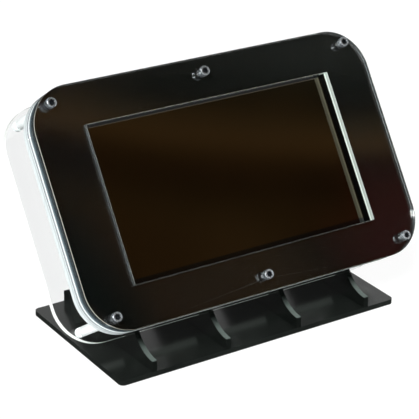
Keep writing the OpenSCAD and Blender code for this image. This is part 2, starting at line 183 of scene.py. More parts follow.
def clear_acrylic(name, face, rough_low, rough_high, right_haze):
    """The cut edge is part clear, part white scatter. right_haze is how much of the scatter is left
    on the edges that face right."""
    material, tree, place = new_material(name)
    edges = edge_mask(tree)
    cut = grain(tree, place, STRIATION_MM, detail=0.0, stretch=(1, 1, 0.01))
    smudge = grain(tree, place, SMUDGE_MM, detail=5.0)
    sideways = add(tree, "ShaderNodeSeparateXYZ", {"Vector": place}).outputs["X"]
    # Painted light: on the window's right wall the cut edge is painted whiter and milkier.
    on_wall = add(tree, "ShaderNodeMath", {0: sideways, 1: WALL_X, 2: WALL_REACH},
                  operation="COMPARE")
    edge_tint = add(tree, "ShaderNodeMix", {"Factor": on_wall, "A": by_depth(tree, place,
                    TINT_BY_DEPTH_MM), "B": linear("#f2fff6")}, data_type="RGBA")
    colour = add(tree, "ShaderNodeMix", {"Factor": edges, "A": linear(face), "B": edge_tint},
                 data_type="RGBA")
    uneven = add(tree, "ShaderNodeMapRange", {"Value": cut, "To Min": 0.85, "To Max": 1.15})
    wall_painted_light = add(tree, "ShaderNodeMath", {0: on_wall, 1: by_depth(tree, place, WALL_MILK_BY_DEPTH_MM)},
                operation="MULTIPLY")
    milky = add(tree, "ShaderNodeMath", {0: wall_painted_light, 1: by_depth(tree, place, MILK_BY_DEPTH_MM)},
                operation="MAXIMUM")
    normal = add(tree, "ShaderNodeNewGeometry").outputs["Normal"]
    ways = add(tree, "ShaderNodeSeparateXYZ", {"Vector": normal}).outputs
    # Edges that face right keep less of the white scatter, so they look clearer and darker.
    right_facing_share = add(tree, "ShaderNodeMapRange", {"Value": ways["X"], "From Min": 0.2, "From Max": 0.8,
               "To Min": 1.0, "To Max": right_haze})
    hazy = add(tree, "ShaderNodeMath", {0: uneven, 1: right_facing_share}, operation="MULTIPLY")
    milk = add(tree, "ShaderNodeMath", {0: milky, 1: hazy}, operation="MULTIPLY")
    # Painted glow: edges that face down emit a faint light of their own, more at some depths.
    under = add(tree, "ShaderNodeMapRange", {"Value": ways["Z"], "From Min": -0.3, "From Max": -0.8})
    painted_glow_mask = add(tree, "ShaderNodeMath", {0: under, 1: by_depth(tree, place, PAINTED_GLOW_BY_DEPTH_MM)},
                 operation="MULTIPLY")
    glow = add(tree, "ShaderNodeMath", {0: painted_glow_mask, 1: edges}, operation="MULTIPLY")
    scatter = add(tree, "ShaderNodeMath", {0: edges, 1: milk}, operation="MULTIPLY")
    clear = add(tree, "ShaderNodeMath", {0: 1.0, 1: scatter}, operation="SUBTRACT", use_clamp=True)
    polish = add(tree, "ShaderNodeMapRange", {"Value": smudge, "To Min": 0.0, "To Max": 0.03})
    sawn = add(tree, "ShaderNodeMapRange", {"Value": cut, "To Min": rough_low, "To Max": rough_high})
    rough = add(tree, "ShaderNodeMix", {"Factor": edges, "A": polish, "B": sawn})
    height = add(tree, "ShaderNodeMath", {0: edges, 1: cut}, operation="MULTIPLY")
    relief = add(tree, "ShaderNodeBump", {"Height": height, "Distance": 0.03 * MM, "Strength": 0.3})
    shader, out = surface(tree, {"Base Color": colour, "IOR": PMMA_IOR, "Roughness": rough,
                                 "Transmission Weight": clear, "Normal": relief,
                                 "Emission Color": linear("#e4f7ea"), "Emission Strength": glow})
    shadow = add(tree, "ShaderNodeLightPath").outputs["Is Shadow Ray"]
    film = add(tree, "ShaderNodeBsdfTransparent", {"Color": linear("#f4f7f6")})
    mix = add(tree, "ShaderNodeMixShader", {0: shadow, 1: shader, 2: film})
    tree.links.new(mix.outputs[0], out.inputs["Surface"])
    return material

FRONT_CLEAR = clear_acrylic("clear_cast_acrylic", "#fbfdfc", 0.05, 0.15, 0.15)
BACK_CLEAR = clear_acrylic("clear_cast_acrylic_back", "#f4f5f5", 0.10, 0.25, 0.8)
print("made", FRONT_CLEAR.name, "and", BACK_CLEAR.name)

# %% [markdown]
# ## Black cast acrylic
# The bezel and the stand are the same plastic with carbon black in it. Polished black shows almost no
# colour of its own: it is a dark mirror. The bezel is covered and stays clean. The stand lies open and is
# handled, so it carries fine scratches and a haze of dust, paler and rougher than the sheet under it.
# The bezel's sawn ends are painted grey, lighter towards its back, as a painted highlight along the
# edge. The ribs' faces that turn up are painted grey too, a painted sheen where they face up to the
# light.

# %% Black acrylic
HAZE_MM = 24
DUST_MM = 0.9            # real dust is finer, and shows as a general haze
PAINTED_HIGHLIGHT_FROM = 85 * MM     # from the middle: the ends of the bezel, but not the walls of its window

def black_acrylic(name, deep, dusty, dust_amount, rough_low, rough_high, painted_highlight=(),
                  painted_top_sheen=None, relief_strength=0.15):
    """The bezel's sawn ends can be painted lighter by depth, a painted highlight, and faces that turn up
    a paler colour, a painted sheen.
    """
    material, tree, place = new_material(name)
    film = grain(tree, place, HAZE_MM, detail=6.0)
    speck = grain(tree, place, DUST_MM, detail=2.0)
    haze = add(tree, "ShaderNodeMapRange", {"Value": film, "To Min": 0.0, "To Max": dust_amount})
    specks = add(tree, "ShaderNodeMapRange", {"Value": speck, "From Min": 0.70, "From Max": 0.78,
                 "To Min": 0.0, "To Max": dust_amount})
    dust = add(tree, "ShaderNodeMath", {0: haze, 1: specks}, operation="MAXIMUM")
    colour = add(tree, "ShaderNodeMix", {"Factor": dust, "A": linear(deep), "B": linear(dusty)},
                 data_type="RGBA")
    # Painted highlight: the bezel's sawn ends are painted grey, lighter towards its back.
    if painted_highlight:
        sideways = add(tree, "ShaderNodeSeparateXYZ", {"Vector": place}).outputs["X"]
        aside = add(tree, "ShaderNodeMath", {0: sideways}, operation="ABSOLUTE")
        outside = add(tree, "ShaderNodeMath", {0: aside, 1: PAINTED_HIGHLIGHT_FROM}, operation="GREATER_THAN")
        sawn = add(tree, "ShaderNodeMath", {0: edge_mask(tree), 1: outside}, operation="MULTIPLY")
        colour = add(tree, "ShaderNodeMix", {"Factor": sawn, "A": colour,
                     "B": by_depth(tree, place, painted_highlight)}, data_type="RGBA")
    # Painted sheen: faces that turn up are painted a paler grey.
    if painted_top_sheen:
        normal = add(tree, "ShaderNodeNewGeometry").outputs["Normal"]
        rise = add(tree, "ShaderNodeSeparateXYZ", {"Vector": normal}).outputs["Z"]
        upward = add(tree, "ShaderNodeMapRange", {"Value": rise, "From Min": 0.70, "From Max": 1.0})
        colour = add(tree, "ShaderNodeMix", {"Factor": upward, "A": colour, "B": linear(painted_top_sheen)},
                     data_type="RGBA")
    rough = add(tree, "ShaderNodeMapRange", {"Value": film, "To Min": rough_low, "To Max": rough_high})
    relief = add(tree, "ShaderNodeBump", {"Height": speck, "Distance": 0.01 * MM,
                 "Strength": relief_strength})
    surface(tree, {"Base Color": colour, "IOR": PMMA_IOR, "Roughness": rough, "Normal": relief})
    return material

# The painted highlight's greys, by depth behind the front face.
PAINTED_HIGHLIGHT_BY_DEPTH_MM = [(4.0, "#343d41"), (5.3, "#4d5a60"), (7.0, "#8b9aa1")]
BEZEL_BLACK = black_acrylic("black_cast_acrylic", "#050505", "#141414", 0.10, 0.02, 0.05,
                            PAINTED_HIGHLIGHT_BY_DEPTH_MM, relief_strength=0.01)
STAND_BLACK = black_acrylic("dusty_black_acrylic", "#090b0a", "#4a524c", 0.22, 0.17, 0.26)
# The ribs get a painted sheen on their faces that turn up.
RIB_BLACK = black_acrylic("black_acrylic_painted_top_sheen", "#050706", "#4a524c", 0.10, 0.08, 0.16,
                          painted_top_sheen="#66716c")
print("made", BEZEL_BLACK.name, STAND_BLACK.name, "and", RIB_BLACK.name)

# %% [markdown]
# ## Metals
# Metals keep the default IOR and get metallic 1. What tells them apart is tint and how the surface was
# made: plating over a turned head is fine and even, rolled sheet has long streaks, and gold flash over
# copper is smooth and yellow. Each has a grain of the size that its making leaves.

# %% Metals
def metal(name, light, dark, rough_low, rough_high, grain_mm, stretch=(1, 1, 1)):
    """A metal mottled between two tints, with marks about grain_mm across."""
    material, tree, place = new_material(name)
    marks = grain(tree, place, grain_mm, detail=4.0, stretch=stretch)
    colour = add(tree, "ShaderNodeValToRGB", {"Fac": marks}, stops=[(0.3, dark), (0.7, light)])
    rough = add(tree, "ShaderNodeMapRange", {"Value": marks, "To Min": rough_low, "To Max": rough_high})
    relief = add(tree, "ShaderNodeBump", {"Height": marks, "Distance": 0.01 * MM, "Strength": 0.2})
    surface(tree, {"Base Color": colour, "Metallic": 1.0, "Roughness": rough, "Normal": relief})
    return material

NICKEL = metal("nickel_plated_steel", "#eef4f8", "#c9d3db", 0.20, 0.34, 0.6)
# The screws' sockets get a dark steel: painted shade in the recess.
SOCKET_PAINTED_SHADE = metal("steel_socket_painted_shade", "#2c3034", "#15181b", 0.35, 0.50, 0.6)
TIN = metal("tinned_sheet_steel", "#d3d4d0", "#b3b5b2", 0.25, 0.42, 2.0, stretch=(0.05, 1, 1))
BRASS = metal("turned_brass", "#e0bf73", "#b18c43", 0.18, 0.34, 0.4, stretch=(1, 1, 6))
ALUMINIUM = metal("bright_aluminium", "#dfe0e2", "#bfc1c4", 0.22, 0.40, 1.0)
GOLD = metal("gold_plated_copper", "#f2cf7a", "#d1a850", 0.20, 0.32, 0.5)
COPPER = metal("enamelled_copper_wire", "#c9743c", "#8e4420", 0.25, 0.40, 0.5)
print("made seven metals")

# %% [markdown]
# ## Plastics and films
# Plastics keep metallic 0 and differ in roughness and in how their mould was finished. Moulded epoxy is
# matt, because its mould was spark-eroded; glass-filled nylon has a faint fibre mottle; film is smooth.

# %% Plastics and films
def plastic(name, light, dark, rough_low, rough_high, grain_mm, ior=1.5, height_mm=0.01):
    """A plastic mottled between two shades. height_mm is how far its grain stands up."""
    material, tree, place = new_material(name)
    marks = grain(tree, place, grain_mm, detail=3.0)
    colour = add(tree, "ShaderNodeValToRGB", {"Fac": marks}, stops=[(0.3, dark), (0.7, light)])
    rough = add(tree, "ShaderNodeMapRange", {"Value": marks, "To Min": rough_low, "To Max": rough_high})
    relief = add(tree, "ShaderNodeBump", {"Height": marks, "Distance": height_mm * MM, "Strength": 0.4})
    surface(tree, {"Base Color": colour, "IOR": ior, "Roughness": rough, "Normal": relief})
    return material

EPOXY = plastic("moulded_epoxy_chip", "#1d1e20", "#131415", 0.45, 0.60, 0.3)
HEADER = plastic("glass_filled_nylon_black", "#17181a", "#0f1011", 0.35, 0.50, 0.4)
LCP = plastic("ivory_connector_plastic", "#e4dcc4", "#d2c9b0", 0.40, 0.55, 0.5)
NYLON = plastic("white_nylon", "#eef2f2", "#dde4e4", 0.35, 0.50, 0.8, ior=1.53)
FERRITE = plastic("sintered_ferrite", "#3b3c40", "#26272a", 0.55, 0.70, 0.2)
FOAM = plastic("closed_cell_foam", "#232427", "#101113", 0.85, 0.95, 0.5, height_mm=0.2)
GUIDE = plastic("white_light_guide", "#f0f1ee", "#e2e4e0", 0.35, 0.45, 2.0)
RESISTOR = plastic("resistor_glaze_black", "#222326", "#17181a", 0.30, 0.45, 0.3)
CERAMIC = plastic("fired_ceramic_tan", "#a5805a", "#8d6a48", 0.35, 0.50, 0.3)
TAPE = plastic("polyimide_tape", "#c07a2c", "#a5621e", 0.22, 0.34, 5.0, ior=1.7)
LAMP_GREEN = plastic("green_lamp_lens", "#7fae5a", "#6a9a48", 0.15, 0.25, 1.0)
LAMP_AMBER = plastic("amber_lamp_lens", "#d79a3a", "#c2842a", 0.15, 0.25, 1.0)
print("made twelve plastics")

# %% Flat ribbons
TRACE_MM = 1.0           # real copper traces lie 0.5 mm apart, drawn coarser so that they show

def ribbon_film(name, film, trace, runs_across):
    """Copper lines under a film, along the ribbon. runs_across is True where it goes sideways."""
    material, tree, place = new_material(name)
    turned = add(tree, "ShaderNodeMapping", {"Vector": place, "Rotation": (TILT - math.pi / 2, 0, 0)})
    axes = add(tree, "ShaderNodeSeparateXYZ", {"Vector": turned})
    across = axes.outputs["Y" if runs_across else "X"]
    wave = add(tree, "ShaderNodeMath", {0: across, 1: 2 * math.pi / (TRACE_MM * MM)},
               operation="MULTIPLY")
    line = add(tree, "ShaderNodeMath", {0: wave}, operation="SINE")
    colour = add(tree, "ShaderNodeValToRGB", {"Fac": line}, stops=[(0.0, film), (0.3, trace)])
    cloud = grain(tree, place, 6.0)
    rough = add(tree, "ShaderNodeMapRange", {"Value": cloud, "To Min": 0.25, "To Max": 0.38})
    relief = add(tree, "ShaderNodeBump", {"Height": line, "Distance": 0.03 * MM, "Strength": 0.4})
    surface(tree, {"Base Color": colour, "IOR": 1.65, "Roughness": rough, "Normal": relief})
    return material

POLYIMIDE_UP = ribbon_film("polyimide_ribbon_upright", "#a45e1b", "#cf8736", runs_across=False)
POLYIMIDE_ACROSS = ribbon_film("polyimide_ribbon_sideways", "#a45e1b", "#cf8736", runs_across=True)
POLYESTER = ribbon_film("white_polyester_ribbon", "#e9e9e4", "#c9c9c3", runs_across=True)
print("made three ribbons")

# %% [markdown]
# ## Display glass
# A switched-off panel looks nearly black, warm rather than neutral, because its polariser and the
# anti-reflection coat pass and mirror more red and green than blue. The touch panel over it is plain
# glass. It is modelled as one dark glossy surface with a warm reflection.

# %% Display surfaces
def display_surface(name, deep, glow, tint, rough):
    """Coated glass that is dark between two shades and tints what it mirrors."""
    material, tree, place = new_material(name)
    cloud = grain(tree, place, 60, detail=2.0)
    colour = add(tree, "ShaderNodeValToRGB", {"Fac": cloud}, stops=[(0.3, deep), (0.7, glow)])
    uneven = add(tree, "ShaderNodeMapRange", {"Value": cloud, "To Min": rough, "To Max": rough * 2})
    surface(tree, {"Base Color": colour, "IOR": 1.75, "Specular Tint": linear(tint),
                   "Coat Weight": 1.0, "Coat IOR": 1.5, "Coat Roughness": rough,
                   "Coat Tint": linear(tint), "Roughness": uneven})
    return material

TOUCH = display_surface("dark_coated_glass", "#060301", "#0c0602", "#fff4d8", 0.05)
PANEL = display_surface("display_cell_glass", "#070503", "#0c0804", "#ffd9a0", 0.05)
print("made", TOUCH.name, "and", PANEL.name)

# %% [markdown]
# ## Circuit board
# Glass-fibre board under a green solder mask. The weave of the glass shows faintly through the mask, and
# copper fills most of the face, cut into islands that stand up by a few hundredths of a millimetre.

# %% Solder mask
ISLAND_MM = 2.2          # real islands follow the circuit; an even pattern of this size stands for them

def solder_mask(name, island, gap):
    """Islands of copper under the mask, with the bare glass-fibre between them."""
    material, tree, place = new_material(name)
    turned = add(tree, "ShaderNodeMapping", {"Vector": place, "Rotation": (TILT - math.pi / 2, 0, 0)})
    cells = add(tree, "ShaderNodeTexBrick", {"Vector": turned, "Scale": 1 / (ISLAND_MM * MM),
                "Mortar Size": 0.012, "Color1": linear(1.0), "Color2": linear(0.6),
                "Mortar": linear(0.0)})
    colour = add(tree, "ShaderNodeValToRGB", {"Fac": cells}, stops=[(0.1, gap), (0.6, island)])
    rough = add(tree, "ShaderNodeMapRange", {"Value": grain(tree, place, 1.0), "To Min": 0.28,
                "To Max": 0.38})
    relief = add(tree, "ShaderNodeBump", {"Height": cells, "Distance": 0.03 * MM, "Strength": 0.4})
    surface(tree, {"Base Color": colour, "Roughness": rough, "Normal": relief})
    return material

MASK = solder_mask("green_solder_mask", "#124f31", "#1d6b42")
TRACK = plastic("masked_copper_track", "#2a8455", "#237549", 0.28, 0.38, 1.0)
print("made", MASK.name)

# %% [markdown]
# ## Dressing the CAD nodes
# Each node keeps its mesh and gets its finish, except for the screws, cans and other nodes that a finer
# piece stands for later. The sheets also need two modifiers. Neighbouring sheets share a plane in CAD,
# and a renderer can't tell which of two surfaces in one plane comes first, so each sheet is drawn in by
# a few hundredths of a millimetre, which is also the thin air gap of the real sandwich. A small bevel
# then catches the light along every edge, as a real edge does.

# %% Finishes by node
RIBS = [f"stand_rib_{i}" for i in range(1, 5)]
CLEAR_SHEETS = ["front_cover", "front_spacer", "rear_spacer"]
CHIPS = ["driver_chip", "processor", "memory_chips", "power_chip"]
BOARDS = ["main_board", "driver_board"]
RIBBON_SOCKETS = ["display_ribbon_socket", "touch_ribbon_socket", "driver_link_socket",
                  "board_link_socket"]
SHELLS = ["display_tray", "display_clips", "usb_socket", "network_socket", "card_socket",
          "power_button_body", "reset_button_body"]
BUTTONS = ["power_button", "reset_button"]

FINISH = {
    FRONT_CLEAR: CLEAR_SHEETS,
    BACK_CLEAR: ["back_cover"],
    BEZEL_BLACK: ["bezel"],
    STAND_BLACK: ["stand_base"],
    RIB_BLACK: RIBS,
    TOUCH: ["touch_panel"],
    PANEL: ["display_glass"],
    TIN: SHELLS,
    BRASS: ["board_standoffs"],
    ALUMINIUM: ["heat_sink"],
    FOAM: ["clip_pads"],
    MASK: BOARDS,
    NYLON: ["driver_pillars"],
    GUIDE: ["backlight"],
    EPOXY: CHIPS + ["memory_card"],
    LCP: RIBBON_SOCKETS,
    POLYIMIDE_UP: ["display_ribbon"],
    POLYIMIDE_ACROSS: ["touch_ribbon"],
    POLYESTER: ["link_ribbon"],
    HEADER: BUTTONS + ["usb_tongues", "power_jack"],
}

for material, names in FINISH.items():
    for name in names:
        mesh = frame["nodes"][name].data
        mesh.materials.clear()
        mesh.materials.append(material)
print("finished", sum(len(names) for names in FINISH.values()), "nodes")

# %% Air gaps and bevelled edges
AIR_GAP_MM = 0.02
SEAM_MM = 0.002          # corners closer than this are one corner, which CAD export leaves split
CREASE = math.radians(40)
CASE_SHEETS = CLEAR_SHEETS + ["bezel", "back_cover"]
DRAWN_IN = CASE_SHEETS + ["stand_base"] + RIBS
BEVEL_MM = {
    0.15: CASE_SHEETS + SHELLS + ["heat_sink", "power_jack", "board_standoffs"],
    0.30: ["stand_base"] + RIBS,
    0.20: BUTTONS + ["memory_card", "driver_pillars"],
    0.10: CHIPS + BOARDS + RIBBON_SOCKETS + ["usb_tongues", "clip_pads", "touch_panel",
                                             "display_glass", "backlight"],
}

def soften(name, bevel_mm):
    node = frame["nodes"][name]
    weld = node.modifiers.new("join_seams", "WELD")
    weld.merge_threshold = SEAM_MM * MM
    bevel = node.modifiers.new("edge_bevel", "BEVEL")
    bevel.width = bevel_mm * MM
    bevel.segments = 2
    bevel.limit_method = "ANGLE"
    bevel.angle_limit = CREASE
    if name in DRAWN_IN:
        inset = node.modifiers.new("air_gap", "DISPLACE")
        inset.mid_level = 0.0
        inset.strength = -AIR_GAP_MM * MM
    node.modifiers.new("face_normals", "WEIGHTED_NORMAL").keep_sharp = False
    for face in node.data.polygons:
        face.use_smooth = True

for bevel_mm, names in BEVEL_MM.items():
    for name in names:
        soften(name, bevel_mm)
print("softened", sum(len(names) for names in BEVEL_MM.values()), "nodes")

# %% [markdown]
# ## Building pieces on the case
# The finer pieces are modelled flat, in millimetres: x across, y up the slope and z out of the front.
# One matrix then leans them back and scales them to metres. Where a piece goes is read off the CAD
# node that it belongs to, so nothing has to be fitted by eye.

# %% Reading places off the frame
def solids(node):
    """The lowest and highest corner of each separate solid of a node, in case millimetres."""
    shape = bmesh.new()
    shape.from_mesh(frame["nodes"][node].data)
    bmesh.ops.remove_doubles(shape, verts=shape.verts, dist=0.001 * MM)
    unseen = set(shape.verts)
    found = []
    while unseen:
        ahead = [unseen.pop()]
        points = []
        while ahead:
            vert = ahead.pop()
            points.append(TO_CASE @ vert.co)
            for edge in vert.link_edges:
                other = edge.other_vert(vert)
                if other in unseen:
                    unseen.remove(other)
                    ahead.append(other)
        low = Vector([round(min(p[i] for p in points), 3) for i in range(3)])
        high = Vector([round(max(p[i] for p in points), 3) for i in range(3)])
        found.append((low, high))
    shape.free()
    return sorted(found, key=lambda pair: tuple(pair[0]))

def extent(node):
    """The lowest and highest corner of a whole node, in case millimetres."""
    pairs = solids(node)
    low = Vector([min(p[0][i] for p in pairs) for i in range(3)])
    high = Vector([max(p[1][i] for p in pairs) for i in range(3)])
    return low, high

board_low, board_high = extent("main_board")
driver_low, driver_high = extent("driver_board")
print("main board", [round(v, 1) for v in board_high - board_low], "mm")

# %% Shapes that pieces are made of
def cover_with(shape, verts, material):
    """Closes the given points into a convex shell of one material."""
    hull = bmesh.ops.convex_hull(shape, input=verts)
    for face in (f for f in hull["geom"] if isinstance(f, bmesh.types.BMFace)):
        face.material_index = material

def box(shape, low, high, chamfer=0.1, material=0):
    """A block with a small flat on every edge, as moulding and stamping leave it."""
    low, high = Vector(low), Vector(high)
    verts = []
    for corner in range(8):
        signs = [1 if corner >> i & 1 else -1 for i in range(3)]
        at = Vector([high[i] if signs[i] > 0 else low[i] for i in range(3)])
        for keep in range(3):
            inward = [0 if i == keep else -signs[i] * chamfer for i in range(3)]
            verts.append(shape.verts.new(at + Vector(inward)))
    cover_with(shape, verts, material)

def rings(shape, layers, material=0, smooth=False):
    """Joins closed loops of points, each as long as the last, caps both ends and returns the faces."""
    loops = [[shape.verts.new(point) for point in layer] for layer in layers]
    count = len(loops[0])
    faces = [shape.faces.new(reversed(loops[0])), shape.faces.new(loops[-1])]
    for below, above in zip(loops, loops[1:]):
        for i in range(count):
            j = (i + 1) % count
            faces.append(shape.faces.new((below[i], below[j], above[j], above[i])))
    for face in faces:
        face.material_index = material
        face.smooth = smooth
    return faces

TURNED_STEPS = 32

def circle(x, y, z, radius):
    """Points round a circle about the z axis."""
    turns = [2 * math.pi * i / TURNED_STEPS for i in range(TURNED_STEPS)]
    return [(x + radius * math.cos(turn), y + radius * math.sin(turn), z) for turn in turns]

def turned(shape, x, y, profile, material=0):
    """A lathe shape about the z axis from (radius, height) pairs, lowest first."""
    rings(shape, [circle(x, y, z, r) for r, z in profile], material, smooth=True)

def put_piece(name, shape, materials, body="case", stands_for=()):
    """Leans the flat model back, makes it an object and hands it to the frame."""
    bmesh.ops.recalc_face_normals(shape, faces=shape.faces)
    shape.transform(TO_ROOM)
    mesh = bpy.data.meshes.new(name)
    shape.to_mesh(mesh)
    shape.free()
    for material in materials:
        mesh.materials.append(material)
    piece = bpy.data.objects.new(name, mesh)
    bpy.context.scene.collection.objects.link(piece)
    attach(piece, body)
    if stands_for:
        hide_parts(*stands_for)

print("shape helpers ready")

# %% [markdown]
# ## Screws
# The case is held by small socket-head cap screws. The head is turned, with a chamfered rim, a fine
# grip on its side and a hexagon socket broached into it. The shank has a real helical thread, because
# it shows through the clear sheets. Each ring of points has a radius that changes with its angle: that
# gives the grip, the hexagon and the helix from one idea, where a modifier stack would take several.

# %% Cap screws
HEAD_RATIO = 5.5 / 3     # head diameter over thread diameter
SOCKET_RATIO = 2.5 / 3   # across the flats of the socket over thread diameter
HEAD_STEPS = 48
SHANK_STEPS = 24
POINT_MM = 0.3           # the plain end of the shank, below the thread

def hexagon_radius(turn, across_flats):
    """How far a hexagon reaches from its middle in the direction of turn."""
    sixth = math.pi / 3
    return across_flats / 2 / math.cos(turn % sixth - sixth / 2)

def cap_screw(shape, x, y, z, way, d, length, pitch):
    """way is 1 where the head faces out of the front and -1 where it faces the back."""
    def ring(steps, radius, height):
        points = []
        for i in range(steps):
            turn = 2 * math.pi * i / steps
            r = radius(turn, i) if callable(radius) else radius
            points.append((x + r * math.cos(turn), y + r * math.sin(turn), z + way * height))
        return points

    head = d * HEAD_RATIO / 2
    flats = d * SOCKET_RATIO
    rim = 0.12 * d
    grip = lambda turn, i: head - 0.035 * d * (i % 2)
    socket = lambda turn, i: hexagon_radius(turn, flats)
    outline = [(head - 0.08 * d, 0), (head - 0.02 * d, 0.04 * d), (grip, 0.07 * d), (grip, 0.80 * d),
               (head, 0.83 * d), (head, d - rim), (head - 0.35 * rim, d - 0.3 * rim),
               (head - rim, d), (flats * 0.64, d), (socket, 0.94 * d), (socket, 0.42 * d),
               (0.05 * d, 0.30 * d)]
    # Faces deep in the socket take the second material, which paints shade into the recess.
    for face in rings(shape, [ring(HEAD_STEPS, radius, height) for radius, height in outline]):
        centre = face.calc_center_median()
        aside = math.hypot(centre.x - x, centre.y - y)
        if aside < flats * 0.59 and way * (centre.z - z) > 0.2 * d:
            face.material_index = 1

    depth = 0.55 * pitch
    def thread(height):
        """The helix at one height: it climbs one pitch for each turn."""
        climb = 2 * math.pi * height / pitch
        return lambda turn, i: d / 2 - depth * (0.5 - 0.5 * math.cos(climb - turn))

    threaded = length - POINT_MM
    heights = [i * pitch / 4 - threaded for i in range(int(4 * threaded / pitch))]
    shank = [(d / 2 - depth - 0.1, -length)] + [(thread(height), height) for height in heights]
    shank += [(d / 2, 0), (d / 2, 0.2 * d)]
    rings(shape, [ring(SHANK_STEPS, radius, height) for radius, height in shank], smooth=True)

def put_screws(name, node, way, d, pitch, material, socket):
    """One cap screw on each solid of the node that it stands for."""
    shape = bmesh.new()
    found = solids(node)
    for low, high in found:
        centre = (low + high) / 2
        seat = high.z - d if way > 0 else low.z + d
        length = high.z - low.z - d
        cap_screw(shape, centre.x, centre.y, seat, way, d, length, pitch)
    print(name, len(found))
    put_piece(name, shape, [material, socket], stands_for=[node])

# The second material paints shade into each socket; the nylon screws keep plain nylon there.
put_screws("case_cap_screws", "front_screws", 1, 3, 0.5, NICKEL, SOCKET_PAINTED_SHADE)
put_screws("nylon_cap_screws", "rear_screws", -1, 3, 0.5, NYLON, NYLON)
put_screws("clip_cap_screws", "clip_screws", -1, 2.5, 0.45, NICKEL, SOCKET_PAINTED_SHADE)
put_screws("board_cap_screws", "board_screws", 1, 2.5, 0.45, NICKEL, SOCKET_PAINTED_SHADE)
put_screws("board_rear_cap_screws", "board_rear_screws", -1, 2.5, 0.45, NICKEL, SOCKET_PAINTED_SHADE)

# %% [markdown]
# ## Chips and their legs
# A memory chip or a controller is a block of moulded epoxy with tinned legs that leave its sides, drop
# and turn outwards onto the board. Each leg here is three short bars, gull-wing fashion.

# %% Chip legs
LEG_PITCH_MM = 0.8       # drawn a little coarser than the real 0.5 mm, so that legs show apart
LEG_MM = 0.35            # width
LEG_THICK_MM = 0.15
CORNER_MM = 0.6          # what a side leaves free of legs at each end

def legs(shape, low, high, foot_z, up, sides, reach=0.9):
    """Gull-wing legs along the named sides. up is 1 where the chip stands towards the front."""
    middle_z = (low.z + high.z) / 2
    for axis, sign in sides:
        along = 1 - axis
        edge = high[axis] if sign > 0 else low[axis]
        count = int((high[along] - low[along] - 2 * CORNER_MM) / LEG_PITCH_MM)
        for i in range(count):
            place = (low[along] + high[along]) / 2 + (i - (count - 1) / 2) * LEG_PITCH_MM
            for start, end, z0, z1 in ((-0.1, reach * 0.45, middle_z - 0.08, middle_z + 0.08),
                                       (reach * 0.33, reach * 0.5, middle_z, foot_z),
                                       (reach * 0.4, reach, foot_z, foot_z + up * LEG_THICK_MM)):
                a = [0, 0, min(z0, z1)]
                b = [0, 0, max(z0, z1)]
                a[axis], b[axis] = sorted((edge + sign * start, edge + sign * end))
                a[along], b[along] = place - LEG_MM / 2, place + LEG_MM / 2
                box(shape, a, b, chamfer=0.03)

def put_legs(name, node, board_z, up, sides):
    shape = bmesh.new()
    for low, high in solids(node):
        legs(shape, low, high, board_z, up, sides)
    put_piece(name, shape, [TIN])

ALL_SIDES = [(0, 1), (0, -1), (1, 1), (1, -1)]
put_legs("memory_chip_legs", "memory_chips", board_high.z, 1, ALL_SIDES[:2])
put_legs("power_chip_legs", "power_chip", board_high.z, 1, ALL_SIDES)
put_legs("driver_chip_legs", "driver_chip", driver_low.z, -1, ALL_SIDES)
print("soldered the chips")

# %% [markdown]
# ## Small surface-mounted parts
# Between the chips a board is full of resistors and ceramic capacitors: tiny bricks with a tinned cap on
# each end. They are set out in short rows, as a layout program would, and each keeps clear of the
# bigger parts.

# %% Resistors and capacitors
BRICK_MM = (1.6, 0.8)    # length and width
CAP_MM = 0.35            # how far a tinned end reaches in
CAP_STEP_MM = 0.02       # how far it stands out over the body

def chip_brick(shape, x, y, z, up, upright, ceramic):
    """A brick on a board face at z."""
    long, wide = (size / 2 for size in BRICK_MM)
    tall = 0.55 if ceramic else 0.45
    half = Vector((wide, long) if upright else (long, wide))
    z0, z1 = sorted((z, z + up * tall))
    body = half - Vector((CAP_STEP_MM, CAP_STEP_MM))
    box(shape, (x - body.x, y - body.y, z0), (x + body.x, y + body.y, z1 - CAP_STEP_MM), 0.05,
        2 if ceramic else 1)
    axis = 1 if upright else 0
    for sign in (-1, 1):
        low = [x - half.x, y - half.y, z0]
        high = [x + half.x, y + half.y, z1]
        if sign > 0:
            low[axis] = high[axis] - CAP_MM
        else:
            high[axis] = low[axis] + CAP_MM
        box(shape, low, high, chamfer=0.06)

def put_bricks(name, z, up, rows):
    """rows hold (x, y, count, step x, step y, upright, ceramic)."""
    shape = bmesh.new()
    for x, y, count, step_x, step_y, upright, ceramic in rows:
        for i in range(count):
            chip_brick(shape, x + i * step_x, y + i * step_y, z, up, upright, ceramic)
    put_piece(name, shape, [TIN, RESISTOR, CERAMIC])

bx, by = ((board_low + board_high) / 2).xy
dx, dy = ((driver_low + driver_high) / 2).xy
put_bricks("main_board_bricks", board_high.z, 1, [
    (bx - 12, by + 12.5, 6, 1.6, 0, True, True), (bx - 12, by + 15.5, 6, 1.6, 0, True, False),
    (bx + 4, by + 14, 4, 2.6, 0, False, True), (bx + 11, by - 6, 5, 0, 2.2, False, False),
    (bx - 20.5, by - 9, 4, 0, -1.7, False, True), (bx + 27, by - 10, 6, 0, 1.8, False, False),
    (bx + 33, by + 12, 4, 1.6, 0, True, True), (bx + 27, by + 20, 4, 2.4, 0, False, False),
    (bx - 8, by - 9.5, 7, 1.7, 0, True, True), (bx + 27, by + 6, 4, 0, 2, False, True),
    (bx - 21, by + 3, 5, 0, 1.8, False, False), (bx + 26, by - 17, 5, 1.7, 0, True, True),
])
put_bricks("main_board_rear_bricks", board_low.z, -1, [
    (bx - 26, by + 10, 8, 2.4, 0, False, True), (bx - 26, by + 4, 8, 2.4, 0, False, False),
    (bx - 2, by + 8, 5, 1.7, 0, True, True), (bx - 2, by - 6, 6, 2.4, 0, False, True),
    (bx - 30, by - 8, 6, 0, -2, False, True), (bx + 14, by - 12, 6, 2.4, 0, False, False),
])
